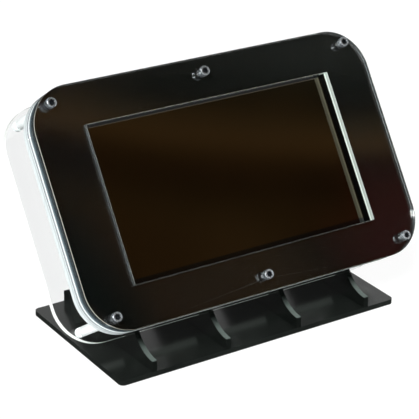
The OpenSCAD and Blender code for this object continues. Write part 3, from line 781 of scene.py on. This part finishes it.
put_bricks("driver_board_bricks", driver_low.z, -1, [
    (dx - 14, dy - 4, 6, 0, 2.2, False, True), (dx + 9, dy - 3, 5, 1.7, 0, True, False),
    (dx - 9, dy - 6, 7, 2.4, 0, False, True), (dx - 12, dy - 18, 10, 2.4, 0, False, False),
    (dx + 9, dy + 24, 5, 2.4, 0, False, True), (dx + 22, dy + 4, 5, 0, 2, False, True),
    (dx - 12, dy + 16, 6, 1.7, 0, True, False), (dx - 20, dy - 22, 3, 0, 2, False, True),
])
print("placed the small parts")

# %% [markdown]
# ## Standoffs
# The nylon standoffs that hold the back cover are turned from rod: a tube with a chamfer inside and out
# at both ends. A fine groove runs round the middle, where the two cuts of the lathe meet.

# %% Case standoffs
BORE_RADIUS_MM = 1.55
STANDOFF_CHAMFER_MM = 0.3

def closed_loops(shape, layers):
    """Joins loops of points into a ring: each loop to the next, and the last to the first."""
    loops = [[shape.verts.new(point) for point in layer] for layer in layers]
    count = len(loops[0])
    for below, above in zip(loops, loops[1:] + loops[:1]):
        for i in range(count):
            j = (i + 1) % count
            shape.faces.new((below[i], below[j], above[j], above[i]))

def tube(shape, x, y, low_z, high_z, outer, inner, chamfer):
    """A turned tube: the outline goes up the outside and down the bore, and closes on itself."""
    centre_z = (low_z + high_z) / 2
    outline = [(outer - chamfer, low_z), (outer, low_z + chamfer), (outer, centre_z - chamfer),
               (outer - chamfer / 3, centre_z), (outer, centre_z + chamfer),
               (outer, high_z - chamfer), (outer - chamfer, high_z), (inner + chamfer, high_z),
               (inner, high_z - chamfer), (inner, low_z + chamfer), (inner + chamfer, low_z)]
    closed_loops(shape, [circle(x, y, z, r) for r, z in outline])

def put_standoffs():
    shape = bmesh.new()
    found = solids("case_standoffs")
    for low, high in found:
        centre = (low + high) / 2
        outer = (high.x - low.x) / 2
        tube(shape, centre.x, centre.y, low.z, high.z, outer, BORE_RADIUS_MM, STANDOFF_CHAMFER_MM)
    print("turned", len(found), "standoffs")
    put_piece("turned_standoffs", shape, [NYLON], stands_for=["case_standoffs"])

put_standoffs()

# %% [markdown]
# ## Copper on the boards
# Bright gold rings lie round the screw holes, where the copper is left bare and plated. Buses of
# parallel tracks join the chips and turn by 45 degrees, as board layout programs draw them. They
# are raised by less than a tenth of a millimetre, so they show as lines with a lit side.

# %% Rings and tracks
TRACK_MM = 0.3           # real tracks are about half as wide, drawn wider so that they show
TRACK_HEIGHT_MM = 0.06
RING_MM = 1.1            # width of the bare ring round a hole
RING_HEIGHT_MM = 0.08

def bar(shape, start, end, width, thick, material=0):
    """A flat bar from start to end. Its width lies in the board's plane."""
    start, end = Vector(start), Vector(end)
    along = (end - start).normalized()
    side = along.cross(Vector((0, 0, 1)))
    side = side.normalized() if side.length > 0.01 else Vector((0, 1, 0))
    rise = side.cross(along).normalized()
    verts = [shape.verts.new(p + side * (i * width / 2) + rise * (j * thick / 2))
             for p in (start, end) for i in (-1, 1) for j in (-1, 1)]
    cover_with(shape, verts, material)

def bus(shape, x, y, z, up, points, count):
    """count tracks side by side through the points, which are measured from the board's middle."""
    lean = Vector((TRACK_MM * 0.8, TRACK_MM * 2))
    level = z + up * TRACK_HEIGHT_MM / 2
    for i in range(count):
        line = [Vector((x, y)) + Vector(p) + lean * i for p in points]
        for start, end in zip(line, line[1:]):
            bar(shape, (*start, level), (*end, level), TRACK_MM, TRACK_HEIGHT_MM, 1)

def put_copper(name, node, hole_radius, inset, buses):
    """Rings round the four holes, which lie inset from the corners, and buses of tracks."""
    low, high = extent(node)
    x, y = ((low + high) / 2).xy
    half_w, half_h = (high.x - low.x) / 2 - inset, (high.y - low.y) / 2 - inset
    shape = bmesh.new()
    for up, z in ((1, high.z), (-1, low.z)):
        bottom, top = sorted((z, z + up * RING_HEIGHT_MM))
        for a in (-1, 1):
            for b in (-1, 1):
                tube(shape, x + a * half_w, y + b * half_h, bottom, top, hole_radius + RING_MM,
                     hole_radius, chamfer=0.02)
    for up, points, count in buses:
        bus(shape, x, y, high.z if up > 0 else low.z, up, points, count)
    put_piece(name, shape, [GOLD, TRACK])

put_copper("main_board_copper", "main_board", 1.35, 3.5, [
    (1, [(9, -4), (12, -4), (15, -7)], 5), (1, [(9, 6), (15, 6)], 6),
    (1, [(-9, 4), (-15, 4), (-19, 0)], 5), (1, [(-9, 9), (-13, 9), (-19, 15), (-26, 15)], 4),
    (1, [(-2, -7), (-2, -9), (8, -19), (8, -21)], 6), (1, [(26, 2), (30, 2), (36, -4)], 6),
    (1, [(26, 14), (32, 20), (38, 20)], 3), (-1, [(-34, 18), (-10, 18), (2, 14), (20, 14)], 8),
    (-1, [(-34, -14), (-20, -14), (-6, -2), (26, -2)], 7), (-1, [(-10, -20), (22, -20), (28, -14)], 6),
])
put_copper("driver_board_copper", "driver_board", 1.1, 3.0, [
    (-1, [(-2, -3), (-2, -12), (-8, -18), (-8, -21)], 7), (-1, [(7, 4), (12, 4), (20, -4)], 5),
    (-1, [(-10, 4), (-16, 4), (-21, -1)], 6), (-1, [(6, 12), (11, 17)], 3),
])
print("laid the copper")

# %% [markdown]
# ## Electrolytic capacitors
# A drawn aluminium can with a rounded rim sits on a square black foot with chamfered edges. A groove is
# rolled in near the foot to grip the seal. The top has a scored cross, which lets the can open softly
# if it ever overheats, and a dark segment marks the negative side.

# %% Capacitors
def can(shape, x, y, foot, up, radius, height):
    """A can on its square foot. foot is the board's face, and up is 1 where it stands forwards."""
    rise = lambda h: foot + up * h
    low, high = sorted((rise(0), rise(0.9)))
    box(shape, (x - radius, y - radius, low), (x + radius, y + radius, high), 0.35, 1)
    r = radius * 0.96
    turned(shape, x, y, [(r, rise(0.8)), (r, rise(1.3)), (r - 0.25, rise(1.5)), (r - 0.25, rise(1.7)),
                         (r, rise(1.95)), (r, rise(height - 0.5)), (r - 0.12, rise(height - 0.2)),
                         (r - 0.4, rise(height - 0.04)), (r - 0.7, rise(height - 0.04))])
    top = rise(height - 0.02)
    for way in (Vector((1, 1, 0)), Vector((1, -1, 0))):
        reach = way.normalized() * r * 0.55
        bar(shape, Vector((x, y, top)) - reach, Vector((x, y, top)) + reach, 0.14, 0.04, 1)
    segment = [shape.verts.new((x + r * 0.86 * math.cos(t), y + r * 0.86 * math.sin(t), z))
               for t in [math.radians(130 + 10 * i) for i in range(11)] for z in (top, top - up * 0.05)]
    cover_with(shape, segment, 1)

def put_cans(name, node, board_z, up):
    shape = bmesh.new()
    found = solids(node)
    for low, high in found:
        centre = (low + high) / 2
        can(shape, centre.x, centre.y, board_z, up, (high.x - low.x) / 2, high.z - low.z)
    print(name, len(found))
    put_piece(name, shape, [ALUMINIUM, HEADER], stands_for=[node])

put_cans("board_cans", "board_capacitors", board_high.z, 1)
put_cans("driver_cans", "driver_capacitors", driver_low.z, -1)

# %% [markdown]
# ## Coil
# The converter's choke is a ferrite bobbin: two square cheeks with cut corners, and between them a coil
# of enamelled copper wire, which shows as stacked rings.

# %% Choke
CHEEK_MM = 0.7
WIRES = 6                # rings of wire between the cheeks

def put_choke():
    low, high = extent("driver_coil")
    x, y = ((low + high) / 2).xy
    half, height = (high.x - low.x) / 2, high.z - low.z
    cut = half * 0.55
    corners = [(half, cut), (cut, half), (-cut, half), (-half, cut),
               (-half, -cut), (-cut, -half), (cut, -half), (half, -cut)]
    shape = bmesh.new()
    for start, end in ((0, CHEEK_MM), (height - CHEEK_MM, height)):
        points = [(x + a, y + b, driver_low.z - depth) for a, b in corners for depth in (start, end)]
        cover_with(shape, [shape.verts.new(point) for point in points], 0)
    sunk = CHEEK_MM - 0.05   # the winding starts a little inside each cheek
    wire = (height - 2 * sunk) / WIRES
    profile = [(half * 0.86 - wire * 0.35 * ((i + 1) % 2), driver_low.z - sunk - wire * i / 2)
               for i in range(WIRES * 2 + 1)]
    turned(shape, x, y, profile, material=1)
    put_piece("wound_choke", shape, [FERRITE, COPPER], stands_for=["driver_coil"])

put_choke()
print("wound the choke")

# %% [markdown]
# ## Pin header
# The black strip is moulded as a row of cells that can be snapped off, so each cell has cut corners. The
# pins are square gold-plated wire with a pointed end, pushed through the cells.

# %% Pin header
PITCH_MM = 2.54
PIN_MM = 0.64
STRIP_MM = 2.5           # how tall the moulded strip is

def square(x, y, z, half):
    """The corners of a level square about a point."""
    return [(x + a * half, y + b * half, z) for a, b in ((1, 1), (-1, 1), (-1, -1), (1, -1))]

def put_header():
    low, high = extent("pin_header")
    columns = round((high.x - low.x) / PITCH_MM)
    shape = bmesh.new()
    for i in range(columns):
        for j in range(2):
            x = low.x + (i + 0.5) * PITCH_MM
            y = low.y + (j + 0.5) * PITCH_MM
            box(shape, (x - PITCH_MM / 2, y - PITCH_MM / 2, low.z),
                (x + PITCH_MM / 2, y + PITCH_MM / 2, low.z + STRIP_MM), chamfer=0.3)
            rings(shape, [square(x, y, low.z + STRIP_MM - 0.2, PIN_MM / 2),
                          square(x, y, high.z - 0.6, PIN_MM / 2),
                          square(x, y, high.z, PIN_MM / 5)], material=1)
    print("pushed in", columns * 2, "pins")
    put_piece("cut_pin_header", shape, [HEADER, GOLD], stands_for=["pin_header"])

put_header()

# %% [markdown]
# ## Contacts
# Each ribbon socket has a row of tinned feet on the side away from its ribbon and a dark latch that
# clamps the ribbon. The network socket shows eight sprung gold wires and two lamps. Each tongue of the
# double socket on its left carries four gold contacts, and the shell has two sprung tabs.

# %% Ribbon sockets
def put_socket(node, board_z, up, side):
    """Feet along one side of a ribbon socket and a latch along the other."""
    low, high = extent(node)
    shape = bmesh.new()
    legs(shape, low, high, board_z, up, [side], reach=0.7)
    axis, sign = side
    top = high.z if up > 0 else low.z
    a, b = Vector(low), Vector(high)
    depth = (high[axis] - low[axis]) * 0.4
    if sign > 0:
        b[axis] = low[axis] + depth
    else:
        a[axis] = high[axis] - depth
    a.z, b.z = sorted((top - up * 0.3, top + up * 0.25))
    inset = Vector((0.6, 0.6, 0))
    inset[axis] = 0
    box(shape, a + inset, b - inset, 0.12, 1)
    put_piece(node + "_latch", shape, [TIN, HEADER])

put_socket("display_ribbon_socket", driver_low.z, -1, (1, 1))
put_socket("touch_ribbon_socket", driver_low.z, -1, (0, -1))
put_socket("driver_link_socket", driver_low.z, -1, (0, 1))
put_socket("board_link_socket", board_high.z, 1, (0, -1))
print("latched four ribbon sockets")

# %% Network and double sockets
WIRE_PITCH_MM = 1.02
WIRE_MM = (0.35, 0.3)    # width and thickness of a sprung wire
STRIP_PITCH_MM = 2.4
LAMP_ASIDE_MM = 5
TAB_ASIDE_MM = 3.4

def put_socket_contacts():
    shape = bmesh.new()
    low, high = extent("network_socket")
    y = (low.y + high.y) / 2
    for i in range(8):
        wire_y = y + (i - 3.5) * WIRE_PITCH_MM
        rear = (high.x - 4.9, wire_y, low.z + 10.2)
        bend = (low.x + 6, wire_y, low.z + 6.2)
        tip = (low.x + 4.5, wire_y, low.z + 7.4)
        bar(shape, rear, bend, *WIRE_MM)
        bar(shape, bend, tip, *WIRE_MM)
    for side, lens in ((-LAMP_ASIDE_MM, 1), (LAMP_ASIDE_MM, 2)):
        box(shape, (low.x - 0.15, y + side - 1.5, high.z - 2.2),
            (low.x + 1, y + side + 1.5, high.z - 0.9), 0.2, lens)
    for low, high in solids("usb_tongues"):
        for i in range(4):
            y = (low.y + high.y) / 2 + (i - 1.5) * STRIP_PITCH_MM
            box(shape, (low.x + 0.4, y - 0.5, low.z - 0.08), (low.x + 9, y + 0.5, low.z + 0.1), 0.03)
    low, high = extent("usb_socket")
    for side in (-TAB_ASIDE_MM, TAB_ASIDE_MM):
        y = (low.y + high.y) / 2 + side
        box(shape, (low.x + 4, y - 1, high.z - 0.1), (low.x + 11, y + 1, high.z + 0.25), 0.12, 3)
    put_piece("socket_contacts", shape, [GOLD, LAMP_GREEN, LAMP_AMBER, TIN])

put_socket_contacts()
print("sprung the contacts")

# %% [markdown]
# ## Display tray
# The tray that holds the display is thin sheet steel, so it has shallow beads pressed into its back
# for stiffness. Two strips of amber tape hold the ribbons down where they leave it.

# %% Beads and tape
BEAD_MM = 2.6            # width of a bead
BEAD_HEIGHT_MM = 0.45
BEAD_INSET_MM = 9        # from the tray's rim
SHORTER_MM = 12          # how much shorter the two middle beads are at each end
BOARD_GAP_MM = 5         # what the beads leave free beside the driver board
TAPE_BACK_MM = (0.4, 0.28)   # the tape's two faces, behind the back of the tray

def put_tray_beads():
    low, high = extent("display_tray")
    left, right = low.x + BEAD_INSET_MM, driver_low.x - BOARD_GAP_MM
    bottom, top = low.y + BEAD_INSET_MM, high.y - BEAD_INSET_MM
    shape = bmesh.new()
    for x0, y0, x1, y1 in ((left, bottom, right, bottom + BEAD_MM),
                           (left, top - BEAD_MM, right, top),
                           (left, bottom, left + BEAD_MM, top),
                           (right - BEAD_MM, bottom, right, top),
                           (left + SHORTER_MM, -5, right - SHORTER_MM, BEAD_MM - 5),
                           (left + SHORTER_MM, 9, right - SHORTER_MM, BEAD_MM + 9)):
        box(shape, (x0, y0, low.z - BEAD_HEIGHT_MM), (x1, y1, low.z + 0.2), chamfer=0.4)
    put_piece("tray_beads", shape, [TIN])

def put_tape():
    far, near = (extent("display_tray")[0].z - mm for mm in TAPE_BACK_MM)
    shape = bmesh.new()
    low, high = extent("display_ribbon")
    box(shape, (low.x - 4, low.y - 3, far), (high.x + 4, low.y + 2.2, near), chamfer=0.03)
    low, high = extent("touch_ribbon")
    box(shape, (high.x - 1.6, low.y - 3, far), (high.x + 1.2, high.y + 3, near), chamfer=0.03)
    put_piece("ribbon_tape", shape, [TAPE])

put_tray_beads()
put_tape()
print("pressed the beads and stuck the tape")

# %% [markdown]
# ## Painted shade round the screen
# A very thin black frame lies on the touch panel's glass, wider along the lower side. It paints the
# shade of the bezel's deep window onto the glass, and along the lower side a painted reflection of its
# wall.

# %% Touch panel border
# Painted shade: a black frame on the glass for the window's shade and the reflection of its lower wall.
BORDER_PAINTED_SHADE = plastic("black_painted_shade", "#040404", "#020202", 0.05, 0.09, 4.0)
WINDOW_LOW = Vector((-77.25, -44))   # the bezel's window, in case millimetres
WINDOW_HIGH = Vector((78.25, 43))
BORDER_SIDE_MM = 0.8
BORDER_FOOT_MM = 3.2

def put_border():
    low, high = extent("touch_panel")
    front, back = high.z + 0.012, high.z - 0.05
    rim = [(low.x, low.y), (high.x, low.y), (high.x, high.y), (low.x, high.y)]
    left, right = WINDOW_LOW.x + BORDER_SIDE_MM, WINDOW_HIGH.x - BORDER_SIDE_MM
    bottom, top = WINDOW_LOW.y + BORDER_FOOT_MM, WINDOW_HIGH.y - BORDER_SIDE_MM
    hole = [(left, bottom), (right, bottom), (right, top), (left, top)]
    shape = bmesh.new()
    closed_loops(shape, [[(*corner, z) for corner in corners] for corners, z in
                         ((rim, back), (rim, front), (hole, front), (hole, back))])
    put_piece("painted_shade_border", shape, [BORDER_PAINTED_SHADE])

# The border drawn here is painted shade and painted reflection.
put_border()
print("printed the border")

# %% [markdown]
# ## Memory card
# A ridge across the outer end gives a fingernail something to pull on, and eight gold contacts lie under
# the inner end. Both belong to the card, so they ride on the card's body and slide out with it.

# %% Card ridge and contacts
CONTACTS = 8
CONTACT_INSET_MM = 1.2   # from the card's side to the first contact's middle

def put_card_detail():
    low, high = extent("memory_card")
    shape = bmesh.new()
    box(shape, (high.x - 1.6, low.y + 0.8, low.z - 0.25), (high.x - 0.5, high.y - 0.8, low.z + 0.1),
        chamfer=0.12)
    step = (high.y - low.y - 2 * CONTACT_INSET_MM) / (CONTACTS - 1)
    for i in range(CONTACTS):
        y = low.y + CONTACT_INSET_MM + i * step
        box(shape, (low.x + 0.5, y - 0.4, low.z - 0.03), (low.x + 3.2, y + 0.4, low.z + 0.1), 0.01, 1)
    put_piece("card_ridge_and_contacts", shape, [EPOXY, GOLD], body="card")

put_card_detail()
print("finished the card")

# %% [markdown]
# ## Table, light and camera
# The table is a white light table: it is lit from below as well as from above, so it shows as plain
# white with hardly a shadow. What the object's gloss mirrors is a separate matter. The studio is white
# all round, except for one large dark wall to the front and right. It stands where the leaning front
# looks, because a glossy black sheet only looks black when what it mirrors is dark. For the same reason
# the stand's polished sides see the table as a dark sheet.

# %% Table
LIGHT_TABLE_GLOW = 0.93
TABLE_SHARE = 0.8        # how much of that glow falls on the object from below

TABLE_RADIUS = 6.0       # metres, so that its rim never shows
TABLE_GAP_MM = 0.2       # the table lies this far under the stand, so that no two faces meet

def make_table():
    mesh = bpy.data.meshes.new("table")
    table = bpy.data.objects.new("table", mesh)
    bpy.context.scene.collection.objects.link(table)
    shape = bmesh.new()
    bmesh.ops.create_circle(shape, cap_ends=True, segments=96, radius=TABLE_RADIUS)
    shape.to_mesh(mesh)
    shape.free()
    material, tree, place = new_material("white_light_table")
    paper = add(tree, "ShaderNodeTexNoise", {"Vector": place, "Scale": 40.0})
    path = add(tree, "ShaderNodeLightPath").outputs
    straight = add(tree, "ShaderNodeMath", {0: path["Is Camera Ray"], 1: path["Is Transmission Ray"]},
                   operation="MAXIMUM")
    in_gloss = add(tree, "ShaderNodeMath", {0: path["Glossy Depth"], 1: 0.5},
                   operation="GREATER_THAN")
    in_line = add(tree, "ShaderNodeMath", {0: 1.0, 1: in_gloss}, operation="SUBTRACT")
    seen = add(tree, "ShaderNodeMath", {0: straight, 1: in_line}, operation="MULTIPLY")
    lit = add(tree, "ShaderNodeValToRGB", {"Fac": paper}, stops=[(0.3, "#c4c5c5"), (0.7, "#c8c8c8")])
    top = add(tree, "ShaderNodeValToRGB", {"Fac": paper}, stops=[(0.3, "#585959"), (0.7, "#5c5c5c")])
    mirrored = add(tree, "ShaderNodeMix", {"Factor": in_gloss, "A": lit,
                   "B": linear("#2c2d2d")}, data_type="RGBA")
    colour = add(tree, "ShaderNodeMix", {"Factor": seen, "A": mirrored, "B": top}, data_type="RGBA")
    lights = add(tree, "ShaderNodeMath", {0: path["Is Diffuse Ray"], 1: TABLE_SHARE},
                 operation="MULTIPLY")
    share = add(tree, "ShaderNodeMath", {0: seen, 1: lights}, operation="MAXIMUM")
    glow = add(tree, "ShaderNodeMath", {0: share, 1: LIGHT_TABLE_GLOW}, operation="MULTIPLY")
    surface(tree, {"Base Color": colour, "Roughness": 0.9, "Specular IOR Level": 0.1,
                   "Emission Color": linear(1.0), "Emission Strength": glow})
    mesh.materials.append(material)
    table.location.z = -TABLE_GAP_MM * MM

make_table()
print("the table is in place")

# %% The dark wall
WALL_SIDE = math.radians(38)     # where its middle stands, from straight in front towards the right
WALL_SLOPE = 0.63                # how much its shading leans: sine of elevation per radian sideways

def wall_light(tree, height, side):
    """The wall's brown bands, which lean, over a lower part that goes from brown to dull red."""
    turn = add(tree, "ShaderNodeMath", {0: side, 1: WALL_SIDE}, operation="SUBTRACT")
    leaning = add(tree, "ShaderNodeMath", {0: turn, 1: WALL_SLOPE, 2: height},
                  operation="MULTIPLY_ADD")
    bands = add(tree, "ShaderNodeValToRGB", {"Fac": leaning}, stops=[
        (0.50, "#553f26"), (0.547, "#524228"), (0.575, "#302417"), (0.588, "#34261a"),
        (0.603, "#836541"), (0.615, "#5e5038"), (0.627, "#302f26"), (0.640, "#343831"),
        (0.66, "#555952"), (0.72, "#3c3f3c"), (1.0, 0.3)])
    across = add(tree, "ShaderNodeMapRange", {"Value": side, "From Min": math.radians(32),
                 "From Max": math.radians(46)}, interpolation_type="SMOOTHSTEP")
    low = add(tree, "ShaderNodeValToRGB", {"Fac": across}, stops=[
        (0.0, "#16241f"), (0.06, "#553f26"), (0.43, "#5f4b32"), (0.60, "#3f301d"),
        (0.78, "#612720"), (1.0, "#683429")])
    far = add(tree, "ShaderNodeMapRange", {"Value": side, "From Min": math.radians(41.5),
              "From Max": math.radians(43.5)}, interpolation_type="SMOOTHSTEP")
    edge = add(tree, "ShaderNodeMath", {0: far, 1: -0.035, 2: leaning}, operation="MULTIPLY_ADD")
    switch = add(tree, "ShaderNodeMapRange", {"Value": edge, "From Min": 0.53, "From Max": 0.57},
                 interpolation_type="SMOOTHSTEP")
    return add(tree, "ShaderNodeMix", {"Factor": switch, "A": low, "B": bands}, data_type="RGBA")

print("the wall stands", round(math.degrees(WALL_SIDE)), "degrees to the right")

# %% Sky and sun
def make_sky():
    world = bpy.data.worlds.new("studio")
    bpy.context.scene.world = world
    world.use_nodes = True
    tree = world.node_tree
    tree.nodes.clear()
    place = add(tree, "ShaderNodeTexCoord").outputs["Generated"]
    axes = add(tree, "ShaderNodeSeparateXYZ", {"Vector": place}).outputs
    ahead = add(tree, "ShaderNodeMath", {0: axes["Y"], 1: -1.0}, operation="MULTIPLY")
    side = add(tree, "ShaderNodeMath", {0: axes["X"], 1: ahead}, operation="ARCTAN2")
    turn = add(tree, "ShaderNodeMath", {0: side, 1: WALL_SIDE}, operation="SUBTRACT")
    facing = add(tree, "ShaderNodeMath", {0: turn}, operation="COSINE")
    wall_side = add(tree, "ShaderNodeMapRange", {"Value": facing, "From Min": 0.25, "From Max": 0.70},
                    interpolation_type="SMOOTHSTEP")
    wall_foot = add(tree, "ShaderNodeMapRange", {"Value": axes["Z"], "From Min": 0.43,
                    "From Max": 0.48}, interpolation_type="SMOOTHSTEP")
    wall = add(tree, "ShaderNodeMath", {0: wall_side, 1: wall_foot}, operation="MULTIPLY")
    studio = add(tree, "ShaderNodeValToRGB", {"Fac": axes["Z"]}, stops=[
        (0.0, 1.0), (0.474, 1.0), (0.486, 0.12), (0.62, 0.2), (0.80, 0.25), (1.0, 0.1)])
    light = add(tree, "ShaderNodeMix", {"Factor": wall, "A": studio,
                "B": wall_light(tree, axes["Z"], side)}, data_type="RGBA")
    shader = add(tree, "ShaderNodeBackground", {"Color": light, "Strength": 1.0})
    add(tree, "ShaderNodeOutputWorld", {"Surface": shader})

def towards(azimuth, elevation):
    """The direction to a lamp or camera. azimuth 0 is in front, 90 is to the right."""
    a, e = math.radians(azimuth), math.radians(elevation)
    return Vector((math.sin(a) * math.cos(e), -math.cos(a) * math.cos(e), math.sin(e)))

def make_sun(name, azimuth, elevation, strength, spread):
    light = bpy.data.lights.new(name, "SUN")
    light.energy = strength
    light.angle = math.radians(spread)
    sun = bpy.data.objects.new(name, light)
    bpy.context.scene.collection.objects.link(sun)
    sun.rotation_euler = towards(azimuth, elevation).to_track_quat("Z", "Y").to_euler()

make_sky()
make_sun("left_lamp", azimuth=-48, elevation=42, strength=3.0, spread=12)
bpy.context.scene.view_settings.view_transform = "Standard"
print("lit")

# %% Camera
CAMERA_AZIMUTH = -33.86      # degrees
CAMERA_ELEVATION = 24.29
CAMERA_ROLL = 1.08
CAMERA_DISTANCE = 0.977      # metres
CAMERA_TARGET = Vector((-0.0036, 0.0001, 0.0612))
LENS_MM = 152.506
SENSOR_MM = 36

def make_camera():
    data = bpy.data.cameras.new("camera")
    data.lens = LENS_MM
    data.sensor_width = SENSOR_MM
    data.clip_start = 0.01
    camera = bpy.data.objects.new("camera", data)
    bpy.context.scene.collection.objects.link(camera)
    back = towards(CAMERA_AZIMUTH, CAMERA_ELEVATION)
    camera.location = CAMERA_TARGET + back * CAMERA_DISTANCE
    level = back.to_track_quat("Z", "Y").to_matrix().to_4x4()
    camera.matrix_world = Matrix.Translation(camera.location) @ level @ Matrix.Rotation(
        math.radians(CAMERA_ROLL), 4, "Z")
    bpy.context.scene.camera = camera

make_camera()
print("camera set")
